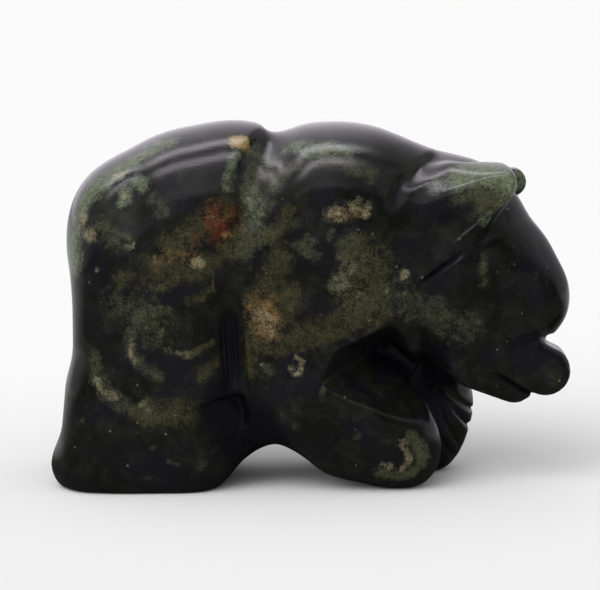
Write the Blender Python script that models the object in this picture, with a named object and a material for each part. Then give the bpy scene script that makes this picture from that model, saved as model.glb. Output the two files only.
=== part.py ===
"""Bear carving of polished jasper: one piece of stone on four feet, its head low and turned.

The bear faces +X and stands on z = 0. Its right flank, at -Y, is the finished side.
It is built as a carver works: masses are blocked out and fused, then hollows and lines are cut in.
Free forms are given in parts, where one part is LENGTH / BEAR_PARTS.
"""
import math

import bmesh
import bpy
import numpy as np
from mathutils import Euler, Matrix, Vector

# Driving sizes
LENGTH = 0.0512                   # heel to nose, metres
BEAR_PARTS = 51.2                 # parts in that length
PART = LENGTH / BEAR_PARTS

# Fillets between groups, in parts
HEAD_FILLET = 1.0
EAR_FILLET = 0.7
HOLLOW_EDGE = 0.6
SOLE_EDGE = 0.5
MIDDLE_BAND = 1.5                 # lines of one flank fade out this near the middle

# Grain of the mesh, in parts
ROUGH_GRAIN = 0.9
FINE_GRAIN = 0.42
FACE_COUNT = 9400

# Surface search, in parts
SEARCH_STEP = 0.02
LONGEST_MOVE = 0.8
SOLE_TOLERANCE = 0.02
TINY = 1e-9


def tilt(pitch=0.0, yaw=0.0):
    """Turn of a mass: pitch lifts its +X end, yaw swings that end to +Y, in degrees."""
    return Euler((0.0, -math.radians(pitch), math.radians(yaw))).to_matrix()


def egg(p, centre, radii, pitch=0.0, yaw=0.0):
    """Nearly the distance to an ellipsoid."""
    local = (p - np.array(centre)) @ np.array(tilt(pitch, yaw))
    radii = np.array(radii)
    near = np.linalg.norm(local / radii, axis=1)
    steep = np.linalg.norm(local / radii ** 2, axis=1) + TINY
    return near * (near - 1.0) / steep


def block(p, centre, half, rounding, pitch=0.0, yaw=0.0):
    """Distance to a box with rounded edges."""
    local = (p - np.array(centre)) @ np.array(tilt(pitch, yaw))
    q = np.abs(local) - (np.array(half) - rounding)
    outside = np.linalg.norm(np.maximum(q, 0.0), axis=1)
    return outside + np.minimum(q.max(axis=1), 0.0) - rounding


def rod(p, start, end, start_radius, end_radius):
    """Distance to a round-ended rod whose radius changes evenly."""
    start, end = np.array(start), np.array(end)
    axis = end - start
    length_2 = axis @ axis
    shrink = start_radius - end_radius
    slope_2 = length_2 - shrink ** 2
    to_point = p - start
    y = to_point @ axis
    z = y - length_2
    x_2 = ((to_point * length_2 - np.outer(y, axis)) ** 2).sum(axis=1)
    y_2 = y ** 2 * length_2
    z_2 = z ** 2 * length_2
    k = np.sign(shrink) * shrink ** 2 * x_2
    past_end = np.sign(z) * slope_2 * z_2 > k
    past_start = np.sign(y) * slope_2 * y_2 < k
    cone = (np.sqrt(x_2 * slope_2 / length_2) + y * shrink) / length_2 - start_radius
    end_ball = np.sqrt(x_2 + z_2) / length_2 - end_radius
    start_ball = np.sqrt(x_2 + y_2) / length_2 - start_radius
    return np.where(past_end, end_ball, np.where(past_start, start_ball, cone))


def fuse(a, b, blend):
    """Union of two masses with a fillet about blend wide."""
    h = np.maximum(blend - np.abs(a - b), 0.0) / blend
    return np.minimum(a, b) - h * h * blend / 4.0


def carve(a, b, blend):
    """Mass a without b, the edge rounded over about blend."""
    return -fuse(-a, b, blend)


def leaf(p, base, tip, base_radius, tip_radius, middle, half_thickness, rounding, lean, thinning):
    """Distance to a tapering plate that stands in the side view, with a rounded rim."""
    flat = p * np.array((1.0, 0.0, 1.0))
    outline = rod(flat, (base[0], 0.0, base[1]), (tip[0], 0.0, tip[1]), base_radius, tip_radius)
    along = np.clip(p[:, 0] - base[0], -base_radius, tip[0] - base[0])
    plate = np.abs(p[:, 1] - middle - lean * along) - half_thickness + thinning * along
    return carve(outline, -plate, rounding)


def pit(p, corners, side, mouth, floor, draft, rounding):
    """Distance to a cut with straight sides, its corners given in the side view, clockwise."""
    y = p[:, 1] * side
    cut = floor - y
    for (x0, z0), (x1, z1) in zip(corners, corners[1:] + corners[:1]):
        length = math.hypot(x1 - x0, z1 - z0)
        outward = ((x0 - x1) * (z0 - p[:, 2]) - (z0 - z1) * (x0 - p[:, 0])) / length
        cut = carve(cut, -(outward + draft * (mouth - y)), rounding)
    return cut


def smooth_path(points, cuts=4):
    """More points on a soft curve through the given ones."""
    points = np.array(points)
    padded = np.vstack([2 * points[0] - points[1], points, 2 * points[-1] - points[-2]])
    t = np.arange(cuts)[:, None] / cuts
    runs = []
    for a, b, c, d in zip(padded, padded[1:], padded[2:], padded[3:]):
        square = (2 * a - 5 * b + 4 * c - d) * t ** 2
        cube = (3 * b - a - 3 * c + d) * t ** 3
        runs.append(0.5 * (2 * b + (c - a) * t + square + cube))
    return np.vstack(runs + [points[-1:]])


def line_depth(p, path, depth, left, right, side=0, middle=0.0, fade=0.15, sharp=False):
    """How far a carved line sinks the surface, by the side view's distance from its path.

    A line with a side stays on that side of the plane y = middle.
    """
    path = smooth_path(path)
    reach = max(left, right)
    x, z = p[:, 0], p[:, 2]
    outward = (p[:, 1] - middle) * side
    low, high = path.min(axis=0) - reach, path.max(axis=0) + reach
    close = (x > low[0]) & (x < high[0]) & (z > low[1]) & (z < high[1])
    if side:
        close &= outward > -MIDDLE_BAND
    near = np.full(close.sum(), np.inf)
    across = np.zeros(close.sum())
    share = np.zeros(close.sum())
    flat = p[close][:, (0, 2)]
    steps = np.diff(path, axis=0)
    lengths = np.linalg.norm(steps, axis=1)
    run = np.concatenate([[0.0], np.cumsum(lengths)]) / lengths.sum()
    for a, step, length, s0, s1 in zip(path, steps, lengths, run, run[1:]):
        to_point = flat - a
        t = np.clip(to_point @ step / length ** 2, 0.0, 1.0)
        gap = np.linalg.norm(to_point - t[:, None] * step, axis=1)
        nearer = gap < near
        near = np.where(nearer, gap, near)
        turn = step[0] * to_point[:, 1] - step[1] * to_point[:, 0]
        across = np.where(nearer, turn, across)
        share = np.where(nearer, s0 + t * (s1 - s0), share)
    fall = np.clip(1.0 - near / np.where(across > 0, left, right), 0.0, 1.0)
    if not sharp:
        fall = fall * fall * (3.0 - 2.0 * fall)
    ends = np.clip(np.minimum(share, 1.0 - share) / fade, 0.0, 1.0)
    if side:
        ends = ends * np.clip(0.5 + outward[close] / (2.0 * MIDDLE_BAND), 0.0, 1.0)
    sunk = np.zeros(len(p))
    sunk[close] = depth * fall * np.sqrt(ends)
    return sunk


# Masses of the trunk, in the order they are fused, each with its fillet
TRUNK = {
    "rump": (egg, dict(centre=(-9.8, 0.0, 23.5), radii=(13.4, 11.0, 12.0)), 3.0),
    "crown": (egg, dict(centre=(-7.0, 0.0, 26.0), radii=(8.2, 9.2, 9.55)), 1.5),
    "haunches": (block, dict(centre=(-15.0, 0.0, 13.5), half=(8.4, 10.2, 14.0), rounding=5.5), 3.0),
    "tail": (egg, dict(centre=(-18.9, -0.9, 26.2), radii=(4.6, 6.6, 5.2)), 1.0),
    "ribs": (block, dict(centre=(-1.5, 0.0, 17.0), half=(8.5, 9.6, 12.6), rounding=6.0), 3.0),
    "shoulders": (egg, dict(centre=(2.0, 0.0, 21.5), radii=(11.3, 10.4, 13.9)), 1.4),
    "nape": (rod, dict(start=(3.0, 0.0, 26.3), end=(13.5, -0.4, 24.3),
                       start_radius=8.8, end_radius=8.4), 2.0),
    "chest": (egg, dict(centre=(5.5, 1.5, 14.0), radii=(6.0, 5.6, 8.0)), 2.0),
}

# Masses of the hind legs, for the right one. The left one mirrors it.
HIND_LEG = {
    "leg": (block, dict(centre=(-17.0, -4.2, 5.0), half=(7.1, 4.6, 6.2), rounding=2.8,
                        pitch=-9.0, yaw=7.0), 3.0),
    "heel": (egg, dict(centre=(-18.4, -4.2, 2.2), radii=(7.2, 4.1, 4.2), yaw=7.0), 1.5),
    "instep": (rod, dict(start=(-12.0, -4.4, 3.8), end=(-5.2, -4.0, 6.4),
                         start_radius=3.7, end_radius=2.8), 1.5),
}

# Masses of the forelegs. The left one is ahead, with its paw turned up.
FORELEGS = {
    "right_upper_arm": (rod, dict(start=(0.5, -5.0, 19.0), end=(1.8, -6.0, 9.4),
                                  start_radius=5.2, end_radius=4.8), 2.0),
    "right_forearm": (egg, dict(centre=(3.5, -5.5, 7.5), radii=(9.3, 5.1, 6.3), pitch=-26.0), 1.5),
    "right_paw": (egg, dict(centre=(9.1, -4.2, 3.15), radii=(3.8, 4.3, 3.9)), 2.0),
    "left_upper_arm": (rod, dict(start=(4.0, 5.2, 19.0), end=(9.0, 4.6, 11.0),
                                 start_radius=5.0, end_radius=4.4), 2.0),
    "left_forearm": (egg, dict(centre=(4.0, 5.8, 7.5), radii=(9.5, 4.8, 6.6), pitch=-12.0), 2.0),
    "left_paw": (egg, dict(centre=(10.6, 3.6, 7.6), radii=(5.8, 5.0, 6.6), pitch=30.0), 1.5),
    "left_sole": (egg, dict(centre=(9.5, 4.6, 2.4), radii=(4.2, 4.2, 3.2)), 2.0),
}

# Masses of the head
HEAD = {
    "skull": (egg, dict(centre=(12.8, -0.8, 23.3), radii=(8.1, 8.0, 8.4)), 2.0),
    "muzzle": (rod, dict(start=(14.2, -1.0, 21.7), end=(21.4, -2.4, 19.2),
                         start_radius=7.4, end_radius=3.9), 2.0),
    "brow": (egg, dict(centre=(17.9, -1.6, 21.8), radii=(5.8, 5.4, 4.8)), 2.0),
    "poll": (egg, dict(centre=(13.6, -0.8, 26.4), radii=(6.2, 6.4, 4.6)), 2.0),
    "cheek": (rod, dict(start=(11.5, -2.0, 20.0), end=(18.4, -2.4, 13.4),
                        start_radius=5.5, end_radius=4.2), 1.0),
    "upper_lip": (egg, dict(centre=(21.1, -2.5, 16.3), radii=(3.8, 4.1, 2.7), pitch=8.0), 1.0),
    "nose": (egg, dict(centre=(23.4, -2.5, 18.5), radii=(1.9, 2.8, 2.4)), 1.0),
    "lower_jaw": (rod, dict(start=(17.0, -2.5, 12.4), end=(20.2, -2.6, 10.2),
                            start_radius=3.2, end_radius=2.1), 0.8),
    "tongue": (rod, dict(start=(19.0, -2.6, 12.7), end=(22.9, -2.7, 11.15),
                         start_radius=2.9, end_radius=2.65), 0.5),
}

# Ears: plates that lie back along the head, each with a roll along its upper edge
EARS = {
    "right_ear": (leaf, dict(base=(12.6, 28.2), tip=(18.7, 30.3), base_radius=4.2, tip_radius=1.4,
                             middle=-6.8, half_thickness=1.9, rounding=1.2,
                             lean=0.04, thinning=0.06)),
    "right_roll": (rod, dict(start=(10.4, -7.0, 28.9), end=(17.6, -7.9, 30.9),
                             start_radius=2.1, end_radius=1.35)),
    "right_fold": (rod, dict(start=(9.0, -6.3, 28.3), end=(12.2, -4.3, 31.2),
                             start_radius=1.3, end_radius=1.2)),
    "right_rim": (rod, dict(start=(18.9, -7.6, 29.8), end=(14.8, -7.2, 24.6),
                            start_radius=0.8, end_radius=0.6)),
    "left_ear": (leaf, dict(base=(13.2, 27.2), tip=(20.6, 29.3), base_radius=3.2, tip_radius=1.4,
                            middle=5.6, half_thickness=1.9, rounding=1.2,
                            lean=-0.06, thinning=0.06)),
    "left_roll": (rod, dict(start=(11.5, 6.2, 27.8), end=(19.6, 6.0, 29.4),
                            start_radius=2.0, end_radius=1.3)),
}

# Clefts cut away with round masses, each with the rounding of its edge
CLEFTS = {
    "between_hind_legs": (rod, dict(start=(-27.2, 0.0, -3.0), end=(-25.0, 0.0, 12.5),
                                    start_radius=3.2, end_radius=1.0), 1.2),
    "between_hind_soles": (rod, dict(start=(-27.0, 0.0, -0.7), end=(-6.0, 0.0, -0.7),
                                     start_radius=1.9, end_radius=1.9), 0.6),
    "under_belly": (egg, dict(centre=(-3.2, 0.0, -0.6), radii=(4.2, 30.0, 4.6)), 1.2),
    "right_ear_hollow": (egg, dict(centre=(15.0, -9.6, 27.9), radii=(4.2, 2.3, 1.4), pitch=29.0), 0.5),
    "left_ear_hollow": (egg, dict(centre=(16.2, 8.4, 26.6), radii=(4.0, 2.0, 1.4), pitch=28.0), 0.5),
}

# Hollows cut in with straight sides
PITS = {
    "right_arm_hollow": dict(corners=[(2.2, 11.6), (3.2, 14.2), (7.9, 16.9), (15.5, 9.6), (11.3, 6.4)],
                             side=-1, mouth=9.0, floor=2.6, draft=0.28, rounding=0.8),
    "right_belly_hollow": dict(corners=[(-10.9, 8.2), (-8.6, 9.2), (-6.2, 9.2),
                                        (-4.5, 5.9), (-6.8, 2.6), (-9.0, 2.4)],
                               side=-1, mouth=8.5, floor=4.6, draft=0.15, rounding=0.8),
    "left_arm_hollow": dict(corners=[(2.6, 11.6), (3.6, 14.2), (8.3, 16.9), (15.9, 9.6), (11.7, 6.4)],
                            side=1, mouth=9.0, floor=6.2, draft=0.5, rounding=1.6),
    "left_belly_hollow": dict(corners=[(-10.8, 8.8), (-6.3, 9.6), (-4.0, 5.4), (-7.8, 2.6)],
                              side=1, mouth=9.5, floor=6.5, draft=0.35, rounding=1.0),
}

# Lines cut into the surface, as paths in the side view
LINES = {
    "waist": dict(path=[(-2.5, 36.0), (-3.2, 34.9), (-4.6, 34.5), (-5.9, 33.3), (-6.8, 31.8), (-7.9, 29.3),
                        (-8.4, 26.0)],
                  depth=1.2, left=2.4, right=0.9, fade=0.35),
    "flank": dict(path=[(-7.8, 30.0), (-8.4, 24.5), (-8.2, 19.0), (-7.6, 14.5), (-6.8, 7.0)],
                  depth=0.9, left=1.3, right=2.4),
    "tail": dict(path=[(-15.7, 31.8), (-16.6, 29.8), (-17.3, 28.0), (-17.9, 25.9), (-18.5, 23.4)],
                 depth=0.7, left=2.4, right=1.2, fade=0.4),
    "neck": dict(path=[(13.4, 32.6), (11.5, 32.0), (9.8, 31.1), (8.5, 30.2), (7.9, 28.8), (7.6, 27.0)],
                 depth=0.8, left=1.1, right=1.1, side=-1, fade=0.3),
    "right_eye": dict(path=[(10.2, 20.3), (11.8, 21.8), (13.4, 23.0), (14.9, 24.0)],
                      depth=0.9, left=0.4, right=1.1, side=-1, sharp=True),
    "left_eye": dict(path=[(11.6, 20.0), (13.0, 21.4), (14.6, 22.6), (16.2, 23.7)],
                     depth=0.7, left=0.4, right=1.0, side=1, sharp=True),
    "mouth": dict(path=[(25.2, 13.5), (23.9, 14.0), (22.8, 14.8), (21.6, 14.7), (20.6, 14.3), (19.3, 13.6)],
                  depth=0.7, left=0.6, right=0.7),
    "nostril": dict(path=[(25.9, 16.6), (24.6, 16.2), (23.4, 15.7)], depth=0.5, left=0.4, right=0.5),
    "lip": dict(path=[(18.0, 12.2), (19.6, 10.8), (21.1, 9.7), (22.4, 8.7)],
                depth=0.9, left=0.7, right=0.5),
}

# Toes of the forward paw, parted by lines that fan out from its wrist
TOE_FAN = [
    [(13.0, 11.2), (14.6, 9.8), (16.9, 7.9)],
    [(13.0, 9.6), (14.9, 7.9), (17.0, 5.6)],
    [(12.9, 8.6), (14.6, 6.4), (16.4, 4.2)],
    [(12.7, 8.0), (13.4, 6.0), (15.4, 3.0)],
    [(12.5, 6.2), (13.4, 4.4), (14.4, 2.2)],
    [(11.8, 4.4), (12.6, 2.8), (13.2, 1.4)],
]
TOE_LINE = dict(depth=0.6, left=0.5, right=0.5, side=1, middle=-2.5, fade=0.3)


def mirrored(sizes):
    """The same mass on the other flank."""
    other = dict(sizes)
    for name in ("centre", "start", "end"):
        if name in sizes:
            x, y, z = sizes[name]
            other[name] = (x, -y, z)
    if "yaw" in sizes:
        other["yaw"] = -sizes["yaw"]
    return other


def body_masses():
    """All masses of trunk and legs, in the order they are fused."""
    legs = []
    for shape, sizes, blend in HIND_LEG.values():
        legs += [(shape, sizes, blend), (shape, mirrored(sizes), blend)]
    return list(TRUNK.values()) + legs + list(FORELEGS.values())


def ear_masses():
    """The ears' masses with their common fillet."""
    return [(shape, sizes, EAR_FILLET) for shape, sizes in EARS.values()]


def group(p, masses, body=None):
    """Fuse a group of masses, onto what is there already."""
    for shape, sizes, blend in masses:
        mass = shape(p, **sizes)
        body = mass if body is None else fuse(body, mass, blend)
    return body


def carving(p):
    """The whole stone as one field: below zero inside, zero on its surface. Points in parts."""
    stone = fuse(group(p, body_masses()), group(p, HEAD.values()), HEAD_FILLET)
    stone = group(p, ear_masses(), stone)
    for shape, sizes, rounding in CLEFTS.values():
        stone = carve(stone, shape(p, **sizes), rounding)
    for sizes in PITS.values():
        stone = carve(stone, pit(p, **sizes), HOLLOW_EDGE)
    for sizes in LINES.values():
        stone = stone + line_depth(p, **sizes)
    for path in TOE_FAN:
        stone = stone + line_depth(p, path, **TOE_LINE)
    return carve(stone, p[:, 2], SOLE_EDGE)


def settle(points, rounds):
    """Move points along the field's slope until they lie on the surface."""
    steps = np.eye(3) * SEARCH_STEP
    for _ in range(rounds):
        value = carving(points)
        slope = np.stack([(carving(points + s) - value) / SEARCH_STEP for s in steps], axis=1)
        move = -value[:, None] * slope / ((slope ** 2).sum(axis=1, keepdims=True) + TINY)
        size = np.linalg.norm(move, axis=1, keepdims=True)
        points = points + move * np.minimum(1.0, LONGEST_MOVE / (size + TINY))
    return points


def even_out(points, edges, share):
    """Draw each point towards the middle of its neighbours."""
    total = np.zeros_like(points)
    count = np.zeros(len(points))
    for a, b in ((0, 1), (1, 0)):
        for axis in range(3):
            total[:, axis] += np.bincount(edges[:, a], points[edges[:, b], axis], len(points))
        count += np.bincount(edges[:, a], minlength=len(points))
    return points + share * (total / count[:, None] - points)


def block_out_line(bm, sizes, flat):
    """Rough out a rod or a leaf as a row of balls, pressed to flat of their width."""
    if "base" in sizes:
        start, end = [Vector((x, sizes["middle"], z)) for x, z in (sizes["base"], sizes["tip"])]
        first, last = sizes["base_radius"], sizes["tip_radius"]
    else:
        start, end = Vector(sizes["start"]), Vector(sizes["end"])
        first, last = sizes["start_radius"], sizes["end_radius"]
    for t in np.linspace(0.0, 1.0, 4):
        radius = (first * (1 - t) + last * t) * PART
        place = Matrix.Translation(start.lerp(end, t) * PART) @ Matrix.Diagonal((1.0, flat, 1.0, 1.0))
        bmesh.ops.create_icosphere(bm, subdivisions=3, radius=radius, matrix=place)


def block_out(bm, shape, sizes):
    """Add one mass to the rough block, as plain primitives."""
    if shape is rod:
        block_out_line(bm, sizes, 1.0)
    elif shape is leaf:
        block_out_line(bm, sizes, 0.6)
    else:
        turn = tilt(sizes.get("pitch", 0.0), sizes.get("yaw", 0.0)).to_4x4()
        radii = sizes["radii"] if shape is egg else sizes["half"]
        size = Matrix.Diagonal([r * PART for r in radii] + [1.0])
        place = Matrix.Translation(Vector(sizes["centre"]) * PART) @ turn @ size
        bmesh.ops.create_icosphere(bm, subdivisions=3, radius=1.0, matrix=place)


def apply_modifier(obj, modifier):
    """Replace the object's mesh with what the modifier makes of it."""
    depsgraph = bpy.context.evaluated_depsgraph_get()
    mesh = bpy.data.meshes.new_from_object(obj.evaluated_get(depsgraph))
    obj.modifiers.remove(modifier)
    obj.data = mesh


def remesh(obj, grain):
    """Fuse the object's mesh into one even skin."""
    modifier = obj.modifiers.new("fuse", "REMESH")
    modifier.mode = "VOXEL"
    modifier.voxel_size = grain * PART
    apply_modifier(obj, modifier)


def sculpt(obj, passes):
    """Bring the skin onto the carving's surface, evenly spread."""
    mesh = obj.data
    points = np.empty(len(mesh.vertices) * 3)
    mesh.vertices.foreach_get("co", points)
    points = points.reshape(-1, 3) / PART
    edges = np.empty(len(mesh.edges) * 2, dtype=np.int32)
    mesh.edges.foreach_get("vertices", edges)
    edges = edges.reshape(-1, 2)
    for _ in range(passes):
        points = settle(points, 2)
        points = even_out(points, edges, 0.5)
    points = settle(points, 4)
    mesh.vertices.foreach_set("co", (points * PART).ravel())
    mesh.update()


def thin_out(obj, faces):
    """Collapse the flatter faces until about so many triangles are left, and true up the soles."""
    obj.data.calc_loop_triangles()
    modifier = obj.modifiers.new("thin", "DECIMATE")
    modifier.ratio = faces / len(obj.data.loop_triangles)
    modifier.use_collapse_triangulate = True
    apply_modifier(obj, modifier)
    for vertex in obj.data.vertices:
        if vertex.co.z < SOLE_TOLERANCE * PART:
            vertex.co.z = 0.0


def jasper():
    """Polished dark green-black stone."""
    material = bpy.data.materials.new("jasper")
    material.use_nodes = True
    shader = material.node_tree.nodes["Principled BSDF"]
    shader.inputs["Base Color"].default_value = (0.020, 0.024, 0.016, 1.0)
    shader.inputs["Roughness"].default_value = 0.22
    shader.inputs["Metallic"].default_value = 0.0
    return material


def build():
    """Make the bear."""
    for obj in list(bpy.data.objects):
        bpy.data.objects.remove(obj)
    bm = bmesh.new()
    for shape, sizes, _ in body_masses() + list(HEAD.values()) + ear_masses():
        block_out(bm, shape, sizes)
    mesh = bpy.data.meshes.new("bear")
    bm.to_mesh(mesh)
    bm.free()
    bear = bpy.data.objects.new("bear", mesh)
    bpy.context.scene.collection.objects.link(bear)
    remesh(bear, ROUGH_GRAIN)
    sculpt(bear, 3)
    remesh(bear, FINE_GRAIN)
    sculpt(bear, 2)
    thin_out(bear, FACE_COUNT)
    bear.data.materials.append(jasper())
    bear.data.shade_smooth()
    return bear


build()
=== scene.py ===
"""A small bear of polished jasper on a pale table, in the soft light of a white tent.

The bear faces +X and stands on z = 0, with its right flank, at -Y, to the camera. Its shape is one field in
millimetres: named masses fused with fillets, less clefts, hollows and lines. A copy of the solid's mesh gets
an even skin, which is settled on that field. Coloured patches are laid on it along paths in space.
"""
import math

import bmesh
import bpy
import numpy as np
from mathutils import Euler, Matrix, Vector


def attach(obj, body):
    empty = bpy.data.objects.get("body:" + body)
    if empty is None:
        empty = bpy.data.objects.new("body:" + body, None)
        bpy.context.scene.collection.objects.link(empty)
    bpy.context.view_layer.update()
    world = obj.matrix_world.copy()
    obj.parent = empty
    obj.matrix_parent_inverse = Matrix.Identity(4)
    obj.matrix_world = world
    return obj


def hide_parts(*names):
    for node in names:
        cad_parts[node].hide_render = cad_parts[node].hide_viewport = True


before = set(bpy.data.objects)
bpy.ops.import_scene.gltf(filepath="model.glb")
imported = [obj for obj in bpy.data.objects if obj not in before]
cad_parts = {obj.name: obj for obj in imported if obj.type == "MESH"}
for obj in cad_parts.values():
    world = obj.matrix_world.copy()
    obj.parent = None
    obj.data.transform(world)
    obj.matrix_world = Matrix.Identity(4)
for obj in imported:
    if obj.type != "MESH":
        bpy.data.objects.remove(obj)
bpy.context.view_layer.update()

MM = 0.001
TINY = 1e-9  # keeps a divisor from zero

# Fillets and edges between groups, in millimetres
HEAD_FILLET = 1.0
EAR_FILLET = 1.3
HOLLOW_EDGE = 0.3
SOLE_EDGE = 0.5
MIDDLE_BAND = 1.5  # lines of one flank fade out this near the middle

# Mesh of the stone, in millimetres
SAME_POINT = 0.001  # points of the solid that are nearer than this are one
SKIN_GRAIN = 0.40  # side of a face on plain surfaces
SEARCH_STEP = 0.02  # how far off the field is read again to find its slope
LONGEST_MOVE = 0.8  # of a point in one step
ROUGH_STEPS, LAST_STEPS = 2, 4  # towards the surface, while the skin is evened out and after that
EVEN_SHARE = 0.5  # how far a point is drawn to the middle of its neighbours
CARVING_MARGIN = 0.5  # edges are halved this far beside the carving
TOE_REACH = 1.3  # and this far from a toe line
THIN_MARGIN = 0.1  # and halved again this far beside the thinnest lines
NEAR_ENOUGH = 0.05  # share of nearness that counts as near
UP_TO_ENDS = 0.01  # fade of a line that counts up to its ends


def tilt(pitch=0.0, yaw=0.0):
    """Turn of a mass: pitch lifts its +X end, yaw swings that end to +Y, in degrees."""
    return Euler((0.0, -math.radians(pitch), math.radians(yaw))).to_matrix()


def egg(p, centre, radii, pitch=0.0, yaw=0.0):
    """Nearly the distance to an ellipsoid: a point's distance out in radii, times that less one, over how
    fast it grows there."""
    local = (p - np.array(centre)) @ np.array(tilt(pitch, yaw))
    radii = np.array(radii)
    near = np.linalg.norm(local / radii, axis=1)
    steep = np.linalg.norm(local / radii ** 2, axis=1) + TINY
    return near * (near - 1.0) / steep


def block(p, centre, half, rounding, pitch=0.0, yaw=0.0):
    """Distance to a box with rounded edges: to a box smaller by the rounding all round, less the rounding."""
    local = (p - np.array(centre)) @ np.array(tilt(pitch, yaw))
    q = np.abs(local) - (np.array(half) - rounding)
    outside = np.linalg.norm(np.maximum(q, 0.0), axis=1)
    return outside + np.minimum(q.max(axis=1), 0.0) - rounding


def rod(p, start, end, radii):
    """Distance to a round-ended rod whose radius changes evenly: to a ball beyond either end, and between
    them to the cone that touches both balls."""
    start, end = np.array(start), np.array(end)
    start_radius, end_radius = radii
    axis = end - start
    length_2 = axis @ axis
    shrink = start_radius - end_radius
    slope_2 = length_2 - shrink ** 2
    to_point = p - start
    y = to_point @ axis
    z = y - length_2
    x_2 = ((to_point * length_2 - np.outer(y, axis)) ** 2).sum(axis=1)
    y_2 = y ** 2 * length_2
    z_2 = z ** 2 * length_2
    k = np.sign(shrink) * shrink ** 2 * x_2
    past_end = np.sign(z) * slope_2 * z_2 > k
    past_start = np.sign(y) * slope_2 * y_2 < k
    cone = (np.sqrt(x_2 * slope_2 / length_2) + y * shrink) / length_2 - start_radius
    end_ball = np.sqrt(x_2 + z_2) / length_2 - end_radius
    start_ball = np.sqrt(x_2 + y_2) / length_2 - start_radius
    return np.where(past_end, end_ball, np.where(past_start, start_ball, cone))


def fuse(a, b, blend):
    """Union of two masses with a fillet about blend wide: the lesser distance, lowered by a quarter of blend
    where the two are equal and by less the more they differ."""
    h = np.maximum(blend - np.abs(a - b), 0.0) / blend
    return np.minimum(a, b) - h * h * blend / 4.0


def carve(a, b, blend):
    """Mass a without b, the edge rounded over about blend: all but the union of b and what is outside a."""
    return -fuse(-a, b, blend)


def leaf_outline(p, base, tip, radii):
    """Distance, in the side view alone, to a rod between two points of that view."""
    flat = p * np.array((1.0, 0.0, 1.0))
    return rod(flat, (base[0], 0.0, base[1]), (tip[0], 0.0, tip[1]), radii)


def leaf(p, base, tip, radii, middle, half_thickness, rounding, thinning):
    """Distance to a tapering plate that stands in the side view, with a rounded rim: a rod's outline there,
    cut off half a thickness to either side of its middle, which thins towards the tip."""
    outline = leaf_outline(p, base, tip, radii)
    along = np.clip(p[:, 0] - base[0], -radii[0], tip[0] - base[0])
    plate = np.abs(p[:, 1] - middle) - half_thickness + thinning * along
    return carve(outline, -plate, rounding)


def flap(p, base, tip, radii, ridge, top, foot, depth, rounding):
    """Distance to an ear: the outline of a tapering leaf in the side view, bounded by two planes that meet
    along its ridge, one up over the top point and one down past the foot point, and cut off at a depth."""
    ear = leaf_outline(p, base, tip, radii)
    start, end = np.array(ridge)
    outside = np.sign(start[1])
    for far in (top, foot):
        normal = np.cross(end - start, np.array(far) - start)
        normal *= outside * np.sign(normal[1]) / np.linalg.norm(normal)
        ear = carve(ear, -((p - start) @ normal), rounding)
    inner = (abs(start[1]) - depth) - p[:, 1] * outside
    return carve(ear, -inner, rounding)


def pit(p, corners, side, mouth, floor, draft, rounding):
    """Distance to a cut with straight sides, its corners given in the side view, clockwise.

    The draft is how far a side leans out for each millimetre of depth, for all sides or for each one.
    """
    y = p[:, 1] * side
    cut = floor - y
    drafts = np.broadcast_to(draft, len(corners))
    for (x0, z0), (x1, z1), lean in zip(corners, corners[1:] + corners[:1], drafts):
        length = math.hypot(x1 - x0, z1 - z0)
        outward = ((x0 - x1) * (z0 - p[:, 2]) - (z0 - z1) * (x0 - p[:, 0])) / length
        wall = (outward + lean * (mouth - y)) / math.hypot(1.0, lean)
        cut = carve(cut, -wall, rounding)
    return cut


def smooth_path(points, cuts=4):
    """More points on a soft curve through the given ones: a cubic from each point to the next, heading at
    each of them from the point before it to the point after it."""
    points = np.array(points)
    padded = np.vstack([2 * points[0] - points[1], points, 2 * points[-1] - points[-2]])
    t = np.arange(cuts)[:, None] / cuts
    runs = []
    for a, b, c, d in zip(padded, padded[1:], padded[2:], padded[3:]):
        square = (2 * a - 5 * b + 4 * c - d) * t ** 2
        cube = (3 * b - a - 3 * c + d) * t ** 3
        runs.append(0.5 * (2 * b + (c - a) * t + square + cube))
    return np.vstack(runs + [points[-1:]])


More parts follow.
